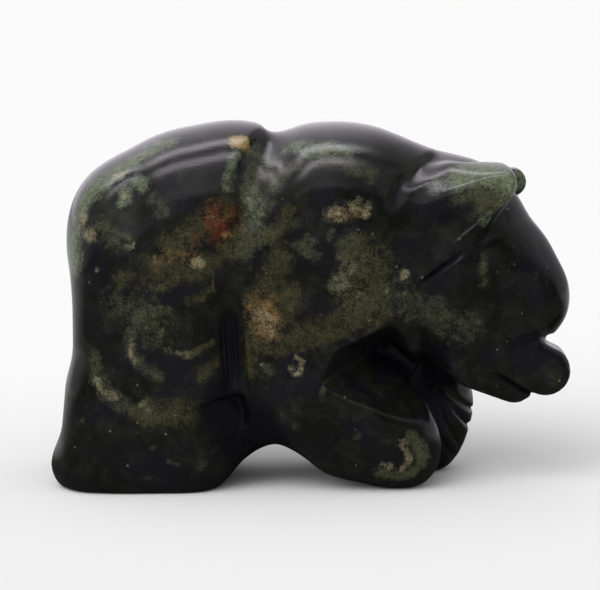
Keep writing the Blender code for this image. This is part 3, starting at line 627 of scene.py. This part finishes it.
def bare_skin():
    """A copy of the solid's mesh, its loose triangles merged, laid over with an even grid of faces."""
    bm = bmesh.new()
    bm.from_mesh(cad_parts["bear"].data)
    bmesh.ops.remove_doubles(bm, verts=bm.verts, dist=SAME_POINT * MM)
    mesh = bpy.data.meshes.new("bear_stone")
    bm.to_mesh(mesh)
    bm.free()
    stone = bpy.data.objects.new("bear_stone", mesh)
    bpy.context.scene.collection.objects.link(stone)
    modifier = stone.modifiers.new("skin", "REMESH")
    modifier.mode = "VOXEL"
    modifier.voxel_size = SKIN_GRAIN * MM
    depsgraph = bpy.context.evaluated_depsgraph_get()
    even = bpy.data.meshes.new_from_object(stone.evaluated_get(depsgraph))
    stone.modifiers.remove(modifier)
    stone.data = even
    return stone


def read_points(mesh):
    """The mesh's points in millimetres, as one array."""
    points = np.empty(len(mesh.vertices) * 3)
    mesh.vertices.foreach_get("co", points)
    return points.reshape(-1, 3) / MM


def read_edges(mesh):
    """The two point numbers of each edge, as one array."""
    edges = np.empty(len(mesh.edges) * 2, dtype=np.int32)
    mesh.edges.foreach_get("vertices", edges)
    return edges.reshape(-1, 2)


def sculpt(mesh, passes):
    """Bring the skin onto the carving's surface, evened out after each pass, and settle it at the end."""
    points, edges = read_points(mesh), read_edges(mesh)
    for _ in range(passes):
        points = settle(points, ROUGH_STEPS)
        points = even_out(points, edges, EVEN_SHARE)
    points = settle(points, LAST_STEPS)
    mesh.vertices.foreach_set("co", (points * MM).ravel())
    mesh.update()


def near_lines(p, lines, margin):
    """How near each point is to some carved lines: 1 on them, 0 beyond the margin beside them."""
    near = np.zeros(len(p))
    for sizes in lines:
        wide = dict(sizes, depth=1.0, left=sizes["left"] + margin, right=sizes["right"] + margin,
                    fade=UP_TO_ENDS, sharp=True)
        near = np.maximum(near, line_depth(p, **wide))
    return near


def near_carving(p):
    """How near each point is to any line, toe or pit of the near side: 1 on it, 0 well away from it."""
    near = near_lines(p, all_lines(), CARVING_MARGIN)
    wide_toe = dict(TOE_LINE, depth=1.0, left=TOE_REACH, right=TOE_REACH, fade=UP_TO_ENDS)
    for path in TOE_FAN:
        near = np.maximum(near, line_depth(p, path, **wide_toe))
    for sizes in PITS.values():
        if sizes["side"] < 0:
            near = np.maximum(near, 1.0 - np.abs(pit(p, **sizes)) / CARVING_MARGIN)
    return near


def near_thin_lines(p):
    """How near each point is to the thinnest lines."""
    return near_lines(p, list(FINE_LINES.values()) + [LINES[name] for name in CREASES], THIN_MARGIN)


def refine(mesh, nearness):
    """Halve the edges where the carving is near."""
    middle = read_points(mesh)[read_edges(mesh)].mean(axis=1)
    wanted = nearness(middle) > NEAR_ENOUGH
    bm = bmesh.new()
    bm.from_mesh(mesh)
    bm.edges.ensure_lookup_table()
    picked = [bm.edges[i] for i in np.flatnonzero(wanted)]
    bmesh.ops.subdivide_edges(bm, edges=picked, cuts=1, use_grid_fill=True)
    bm.to_mesh(mesh)
    bm.free()


def carve_stone():
    """The finished stone: an even skin, settled, refined beside the carving and again along thin lines."""
    stone = bare_skin()
    sculpt(stone.data, 2)
    refine(stone.data, near_carving)
    sculpt(stone.data, 1)
    refine(stone.data, near_thin_lines)
    sculpt(stone.data, 1)
    stone.data.shade_smooth()
    return stone


def closeness(p, path):
    """Distance from each point to a path in space: the least of the distances to its straight pieces."""
    path = np.array(path, dtype=float)
    if len(path) == 1:
        return np.linalg.norm(p - path[0], axis=1)
    near = np.full(len(p), np.inf)
    for a, b in zip(path, path[1:]):
        step = b - a
        t = np.clip((p - a) @ step / (step @ step), 0.0, 1.0)
        near = np.minimum(near, np.linalg.norm(p - a - t[:, None] * step, axis=1))
    return near


def patch_cover(p, rows):
    """How strongly patches cover each point, by its distance to their paths in radii. The strongest wins."""
    cover = np.zeros(len(p))
    for radius, strength, path in rows:
        fall = np.clip((PATCH_GONE - closeness(p, path) / radius) / PATCH_FALL, 0.0, 1.0)
        cover = np.maximum(cover, strength * fall)
    return cover


def write_point_values(mesh, name, values):
    """Keep one number at each point of the mesh, for the materials to read."""
    attribute = mesh.attributes.new(name, "FLOAT", "POINT")
    attribute.data.foreach_set("value", values.astype(np.float32))


def mark_stone(mesh):
    """Write on the stone's points how far each kind of patch covers them, and how far polish misses them and
    shade is painted darker on them.
    """
    points = read_points(mesh)
    for kind, rows in PATCHES.items():
        write_point_values(mesh, "patch_" + kind, patch_cover(points, rows + FAR_PATCHES.get(kind, [])))
    dull_and_shaded = patch_cover(points, DULL_AND_SHADED_ROWS)
    # the eye and lip creases are painted dark along their paths, as shade
    for name in CREASES:
        dull_and_shaded = np.maximum(dull_and_shaded, line_depth(points, **dict(LINES[name], depth=1.0)))
    write_point_values(mesh, "dull_and_shaded", np.minimum(dull_and_shaded, 1.0))


def put(tree, kind, inputs=(), **settings):
    """Add a shader node of a kind, set it up, and link or set each of its inputs."""
    node = tree.nodes.new("ShaderNode" + kind)
    for name, value in settings.items():
        setattr(node, name, value)
    for key, value in dict(inputs).items():
        if isinstance(value, bpy.types.NodeSocket):
            tree.links.new(value, node.inputs[key])
        else:
            node.inputs[key].default_value = value
    return node


def sums(tree, operation, a, b=0.0, clamp=False):
    """One arithmetic step on two numbers."""
    return put(tree, "Math", {0: a, 1: b}, operation=operation, use_clamp=clamp).outputs[0]


def ramp_of(tree, value, low, high, start=0.0, end=1.0, smooth=False):
    """Stretch a number from one range to another, held at both ends, evenly or on a soft step."""
    kind = "SMOOTHSTEP" if smooth else "LINEAR"
    inputs = {0: value, 1: low, 2: high, 3: start, 4: end}
    return put(tree, "MapRange", inputs, interpolation_type=kind).outputs[0]


MIX_COLOURS = (6, 7)  # where the Mix node takes its two colours


def mix(tree, share, under, over, blend_type="MIX"):
    """Mix two colours, each a socket or three numbers."""
    inputs = {0: share}
    for key, colour in zip(MIX_COLOURS, (under, over)):
        inputs[key] = colour if isinstance(colour, bpy.types.NodeSocket) else tuple(colour) + (1.0,)
    return put(tree, "Mix", inputs, data_type="RGBA", blend_type=blend_type).outputs[2]


# Brightness of the tent at angles over the stone, from 0 degrees on the camera's side to 180 behind
TENT = [
    (0.0, 0.045), (50.0, 0.045), (52.2, 0.2), (52.8, 1.1), (53.8, 1.1), (54.8, 0.34), (70.0, 0.42),
    (80.0, 0.60), (84.0, 0.9), (85.6, 5.0), (88.8, 5.0), (90.6, 0.9), (97.0, 0.38), (103.0, 0.42),
    (107.5, 5.4), (111.0, 5.4), (112.5, 0.9), (125.0, 1.1), (150.0, 1.35), (180.0, 1.1),
]
TENT_PEAK = 5.4
TENT_TINT = (1.0, 0.955, 1.04)
# Where the cloth dims, as a share towards tail and nose, and what is left of it there
TENT_ENDS = ((-0.45, -0.80, 0.32), (-0.05, 0.5, 0.34))
STRIP_ENDS = ((-0.5, -0.68), (0.16, 0.44))  # where the strips fade to plain cloth
PLAIN_CLOTH = 1.0

# Light on all that isn't gloss
SOFT_LIGHT = 0.60
SIDE_LIGHT = 3.70
SIDE_LIGHT_FROM = (-0.42, -0.68, 0.60)
SIDE_LIGHT_FOCUS = 8.0  # the higher, the smaller the lamp
BACKDROP = 0.975
WHITE = (1.0, 1.0, 1.0, 1.0)

# The table's tone before and behind the stone, a little darker before it as painted shade, and its tone in
# gloss, much dimmer before the stone as painted shade in the stone's reflections, and between which y each
# changes, in metres
FLOOR_HALF = 2.0
SHADED_FLOOR_TONE, FLOOR_SHADE_CHANGE = (0.865, 0.92), (-0.06, 0.06)
PAINTED_REFLECTION_TONE, PAINTED_REFLECTION_CHANGE = (0.064, 0.506), (0.01, 0.08)


def tinted(light):
    """A brightness as a share of the tent's peak, in the cloth's tint."""
    return tuple(light / TENT_PEAK * tone for tone in TENT_TINT)


def tent_cloth(tree, direction):
    """What gloss mirrors: a brightness by the angle over the stone. Towards tail and nose the strips fade to
    plain cloth and the cloth dims, both on soft steps."""
    axes = put(tree, "SeparateXYZ", {0: direction}).outputs
    angle = sums(tree, "ARCTAN2", axes["Z"], sums(tree, "MULTIPLY", axes["Y"], -1.0))
    ramp = put(tree, "ValToRGB", {0: sums(tree, "DIVIDE", angle, math.pi, clamp=True)})
    stops = ramp.color_ramp.elements
    while len(stops) < len(TENT):
        stops.new(0.5)
    for stop, (degrees, light) in zip(stops, TENT):
        stop.position = degrees / 180.0
        stop.color = tinted(light) + (1.0,)
    striped = ramp.outputs["Color"]
    plain = mix(tree, 1.0, striped, tinted(PLAIN_CLOTH), blend_type="DARKEN")
    ended = [ramp_of(tree, axes["X"], start, end, smooth=True) for start, end in STRIP_ENDS]
    cloth = mix(tree, sums(tree, "MAXIMUM", *ended), striped, plain)
    dims = [ramp_of(tree, axes["X"], start, end, 1.0, left, smooth=True) for start, end, left in TENT_ENDS]
    strength = sums(tree, "MULTIPLY", sums(tree, "MULTIPLY", *dims), TENT_PEAK)
    return put(tree, "Background", {"Color": cloth, "Strength": strength}).outputs[0]


def soft_light(tree, direction):
    """An even light plus a broad lamp: its strength times a power of the cosine of the angle to it."""
    facing = put(tree, "VectorMath", {0: direction, 1: SIDE_LIGHT_FROM}, operation="DOT_PRODUCT")
    lobe = sums(tree, "POWER", sums(tree, "MAXIMUM", facing.outputs["Value"], 0.0), SIDE_LIGHT_FOCUS)
    strength = sums(tree, "ADD", sums(tree, "MULTIPLY", lobe, SIDE_LIGHT), SOFT_LIGHT)
    return put(tree, "Background", {"Color": WHITE, "Strength": strength}).outputs[0]


def light_tent():
    """White cloth over the stone, open towards the camera, with two bright strips that run along the stone.

    Gloss mirrors the cloth. All else is lit evenly, and by a broad lamp from before, above and the tail's
    side. The camera sees a plain backdrop.
    """
    world = bpy.data.worlds.new("tent")
    world.use_nodes = True
    tree = world.node_tree
    tree.nodes.clear()
    direction = put(tree, "TexCoord").outputs["Generated"]
    ray = put(tree, "LightPath").outputs
    backdrop = put(tree, "Background", {"Color": WHITE, "Strength": BACKDROP}).outputs[0]
    soft, cloth = soft_light(tree, direction), tent_cloth(tree, direction)
    lit = put(tree, "MixShader", {0: ray["Is Glossy Ray"], 1: soft, 2: cloth}).outputs[0]
    seen = put(tree, "MixShader", {0: ray["Is Camera Ray"], 1: lit, 2: backdrop}).outputs[0]
    put(tree, "OutputWorld", {"Surface": seen})
    bpy.context.scene.world = world


def pale_floor():
    """A wide matt table top, painted a little darker before the stone than behind it as shade. What gloss on
    the stone sees of it is painted dimmer, most before the stone, as shade in the stone's reflections.
    """
    mesh = bpy.data.meshes.new("floor")
    corners = [(x * FLOOR_HALF, y * FLOOR_HALF, 0.0) for x, y in ((-1, -1), (1, -1), (1, 1), (-1, 1))]
    mesh.from_pydata(corners, [], [(0, 1, 2, 3)])
    floor = bpy.data.objects.new("floor", mesh)
    bpy.context.scene.collection.objects.link(floor)
    material = bpy.data.materials.new("matt_white")
    material.use_nodes = True
    tree = material.node_tree
    shader = tree.nodes["Principled BSDF"]
    place = put(tree, "TexCoord").outputs["Object"]
    across = put(tree, "SeparateXYZ", {0: place}).outputs["Y"]
    # painted shade: the table a little darker before the stone than behind it
    tone_with_painted_shade = ramp_of(tree, across, *FLOOR_SHADE_CHANGE, *SHADED_FLOOR_TONE)
    # painted shade in the stone's reflections: what gloss sees of the table is much dimmer, most before the
    # stone
    tone_in_painted_reflection = ramp_of(tree, across, *PAINTED_REFLECTION_CHANGE, *PAINTED_REFLECTION_TONE)
    glossy = put(tree, "LightPath").outputs["Is Glossy Ray"]
    tree.links.new(ramp_of(tree, glossy, 0.0, 1.0, tone_with_painted_shade, tone_in_painted_reflection), shader.inputs["Base Color"])
    shader.inputs["Roughness"].default_value = 1.0
    shader.inputs["Specular IOR Level"].default_value = 0.0
    mesh.materials.append(material)


# Noises in the stone: size of their lumps in millimetres, detail, roughness and distortion
NOISES = {
    "hue": (5.0, 4.0, 0.6, 0.0),
    "cloud": (2.4, 7.0, 0.72, 0.4),
    "edge": (1.1, 8.0, 0.68, 0.3),
    "grain": (0.42, 6.0, 0.72, 0.0),
    "speckle": (0.17, 3.0, 0.7, 0.0),
    "scratch": (0.22, 4.0, 0.7, 0.0),
}

# Each kind of patch: its darker and its lighter colour, and how much of the ground it hides
KINDS = {
    "moss": ((0.018, 0.021, 0.011), (0.086, 0.089, 0.052), 0.85),
    "olive": ((0.014, 0.015, 0.006), (0.068, 0.062, 0.027), 0.85),
    "mint": ((0.038, 0.053, 0.031), (0.190, 0.228, 0.136), 0.8),
    "rust": ((0.024, 0.007, 0.004), (0.115, 0.025, 0.010), 0.9),
    "tan": ((0.042, 0.026, 0.009), (0.210, 0.130, 0.050), 0.85),
    "cream": ((0.060, 0.054, 0.032), (0.300, 0.265, 0.165), 0.85),
    "yellow": ((0.170, 0.112, 0.042), (0.420, 0.300, 0.125), 0.95),
}
EDGE_SWING = 2.7  # how far the edge noise raises and lowers a patch's cover
COVER_RANGE = (0.05, 1.3)  # where the swung cover begins to show and shows in full
OUTER_FADE = 0.3  # cover below which a patch fades out in any case
GRAIN_RANGE = (0.38, 0.64)  # grain where it is darkest and lightest

# Ground, haze, flecks and the painted shade in hollows and creases: colours, shares, and the range of the
# noise or value that brings each in
MOST_NOISE = (0.3, 0.7)  # nearly all of a noise lies in this range
GROUND, HUE_RANGE = ((0.0064, 0.0059, 0.0080), (0.0042, 0.0046, 0.0028)), (0.4, 0.6)
HAZE, HAZE_SHARE, CLOUD_RANGE = (0.032, 0.035, 0.023), 0.8, (0.47, 0.74)
PAINTED_SHADE_TONE, PAINTED_SHADE_RANGE = (0.0026, 0.0022, 0.0038), (0.45, 0.9)
FLECK, FLECK_SHARE = (0.17, 0.17, 0.12), 0.45
FLECKS_PER_MM, FLECK_SIZES, FLECK_RIM = 0.8, (0.03, 0.12), 0.05  # sizes and rim as shares of a cell
WAVERS_PER_MM, WAVER = 4.0, 0.35

# Polish, as lowest and highest roughness, and relief, its depths in metres
IOR = 1.54
POLISH = (0.075, 0.145)
HOLLOW_ROUGHNESS = 0.24
SCRATCH_TURN, SCRATCH_STRETCH = 0.2, 0.22
SCRATCH_STRENGTH, SCRATCH_DEPTH = 0.5, 0.00002
PORE_STRENGTH, PORE_DEPTH = 0.4, 0.00001


def noise(tree, place, name):
    """Cloudy noise of one of the stone's kinds."""
    size, detail, roughness, distortion = NOISES[name]
    return put(tree, "TexNoise", {"Vector": place, "Scale": 1.0 / size, "Detail": detail,
                                  "Roughness": roughness, "Distortion": distortion}).outputs[0]


def point_values(tree, name):
    """The numbers kept at the mesh's points under a name."""
    return put(tree, "Attribute", attribute_type="GEOMETRY", attribute_name=name).outputs["Fac"]


def patch_group():
    """Lay one kind of patch over a colour. An edge noise and a speckle swing its cover, its rim is soft, and
    its colour runs from dark to light with the grain."""
    tree = bpy.data.node_groups.new("stone_patch", "ShaderNodeTree")
    for kind, names in (("NodeSocketColor", ("Ground", "Dark", "Light")),
                        ("NodeSocketFloat", ("Cover", "Edge", "Grain", "Speckle", "Hide"))):
        for name in names:
            tree.interface.new_socket(name=name, in_out="INPUT", socket_type=kind)
    tree.interface.new_socket(name="Color", in_out="OUTPUT", socket_type="NodeSocketColor")
    into = tree.nodes.new("NodeGroupInput").outputs
    swing = sums(tree, "MULTIPLY", sums(tree, "SUBTRACT", into["Edge"], 0.5), EDGE_SWING)
    flecks = sums(tree, "SUBTRACT", into["Speckle"], 0.5)
    level = sums(tree, "ADD", sums(tree, "ADD", into["Cover"], swing), flecks)
    inside = ramp_of(tree, level, *COVER_RANGE, smooth=True)
    near = ramp_of(tree, into["Cover"], 0.0, OUTER_FADE, smooth=True)
    share = sums(tree, "MULTIPLY", sums(tree, "MULTIPLY", inside, into["Hide"]), near)
    fine = sums(tree, "MULTIPLY", sums(tree, "ADD", into["Grain"], into["Speckle"]), 0.5)
    tone = mix(tree, ramp_of(tree, fine, *GRAIN_RANGE), into["Dark"], into["Light"])
    laid = mix(tree, share, into["Ground"], tone)
    tree.links.new(laid, tree.nodes.new("NodeGroupOutput").inputs[0])
    return tree


def fleck_cover(tree, place):
    """Small flecks in half the cells of a loose pattern, each of its own size, with a short soft rim. The
    place wavers a little, so that they aren't round."""
    waver = put(tree, "TexNoise", {"Vector": place, "Scale": WAVERS_PER_MM, "Detail": 2.0})
    shift = put(tree, "VectorMath", {0: waver.outputs["Color"], "Scale": WAVER}, operation="SCALE")
    moved = put(tree, "VectorMath", {0: shift.outputs[0], 1: place}, operation="ADD").outputs[0]
    cells = put(tree, "TexVoronoi", {"Vector": moved, "Scale": FLECKS_PER_MM}).outputs
    pick = put(tree, "SeparateColor", {0: cells["Color"]}).outputs
    size = ramp_of(tree, pick[1], 0.0, 1.0, *FLECK_SIZES)
    inside = ramp_of(tree, sums(tree, "SUBTRACT", size, cells["Distance"]), 0.0, FLECK_RIM)
    return sums(tree, "MULTIPLY", inside, sums(tree, "GREATER_THAN", pick[0], 0.5))


def stone_colour(tree, place, edge, grain, speckle):
    """Near-black ground in two hues, clouded, with the kinds of patches over it in turn, and then flecks."""
    colour = mix(tree, ramp_of(tree, noise(tree, place, "hue"), *HUE_RANGE), *GROUND)
    cloud = ramp_of(tree, noise(tree, place, "cloud"), *CLOUD_RANGE)
    haze = sums(tree, "MULTIPLY", cloud, ramp_of(tree, speckle, *MOST_NOISE))
    colour = mix(tree, sums(tree, "MULTIPLY", haze, HAZE_SHARE), colour, HAZE)
    group_tree = patch_group()
    for kind, (dark, light, hide) in KINDS.items():
        colour = put(tree, "Group", {
            "Ground": colour, "Dark": dark + (1.0,), "Light": light + (1.0,), "Hide": hide,
            "Cover": point_values(tree, "patch_" + kind), "Edge": edge, "Grain": grain, "Speckle": speckle,
        }, node_tree=group_tree).outputs[0]
    return mix(tree, sums(tree, "MULTIPLY", fleck_cover(tree, place), FLECK_SHARE), colour, FLECK)


def polished_jasper():
    """Softly polished green-black stone, duller and painted darker as shade in its hollows and creases, with
    fine scratches and pores.
    """
    material = bpy.data.materials.new("jasper")
    material.use_nodes = True
    tree = material.node_tree
    shader = tree.nodes["Principled BSDF"]
    place = put(tree, "TexCoord").outputs["Object"]
    place = put(tree, "Mapping", {0: place, "Scale": (1.0 / MM,) * 3}).outputs[0]
    edge, grain, speckle = (noise(tree, place, name) for name in ("edge", "grain", "speckle"))
    dull_and_shaded = point_values(tree, "dull_and_shaded")
    colour = stone_colour(tree, place, edge, grain, speckle)
    # painted shade: recesses, grooves, creases and one rim darkened towards a near-black violet
    colour = mix(tree, ramp_of(tree, dull_and_shaded, *PAINTED_SHADE_RANGE), colour, PAINTED_SHADE_TONE)
    tree.links.new(colour, shader.inputs["Base Color"])
    polish = ramp_of(tree, edge, *MOST_NOISE, *POLISH)
    rough = put(tree, "Mix", {0: dull_and_shaded, 2: polish, 3: HOLLOW_ROUGHNESS})
    tree.links.new(rough.outputs[0], shader.inputs["Roughness"])
    shader.inputs["IOR"].default_value = IOR
    drawn = put(tree, "Mapping", {0: place, "Rotation": (0.0, SCRATCH_TURN, 0.0),
                                  "Scale": (SCRATCH_STRETCH, 1.0, 1.0)}).outputs[0]
    scratched = put(tree, "Bump", {"Height": noise(tree, drawn, "scratch"), "Strength": SCRATCH_STRENGTH,
                                   "Distance": SCRATCH_DEPTH}).outputs[0]
    pitted = put(tree, "Bump", {"Height": speckle, "Strength": PORE_STRENGTH, "Distance": PORE_DEPTH,
                                "Normal": scratched}).outputs[0]
    tree.links.new(pitted, shader.inputs["Normal"])
    return material


# Camera: lens and sensor in millimetres, rise in degrees, distance and aim in metres
LENS, SENSOR = 180.0, 36.0
CAMERA_RISE, CAMERA_DISTANCE, CAMERA_AIM = 8.0, 0.3, (-0.001, 0.0, 0.01845)


def make_camera():
    """A long lens a little above the table, square to the right flank."""
    camera = bpy.data.cameras.new("camera")
    camera.lens = LENS
    camera.sensor_width = SENSOR
    camera.clip_end = 10.0
    obj = bpy.data.objects.new("camera", camera)
    bpy.context.scene.collection.objects.link(obj)
    rise = math.radians(CAMERA_RISE)
    back = Vector((0.0, -math.cos(rise), math.sin(rise)))
    obj.location = Vector(CAMERA_AIM) + CAMERA_DISTANCE * back
    obj.rotation_euler = back.to_track_quat("Z", "Y").to_euler()
    bpy.context.scene.camera = obj


stone = carve_stone()
mark_stone(stone.data)
stone.data.materials.append(polished_jasper())
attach(stone, "root")
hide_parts("bear")
pale_floor()
light_tent()
make_camera()
bpy.context.scene.view_settings.view_transform = "Standard"
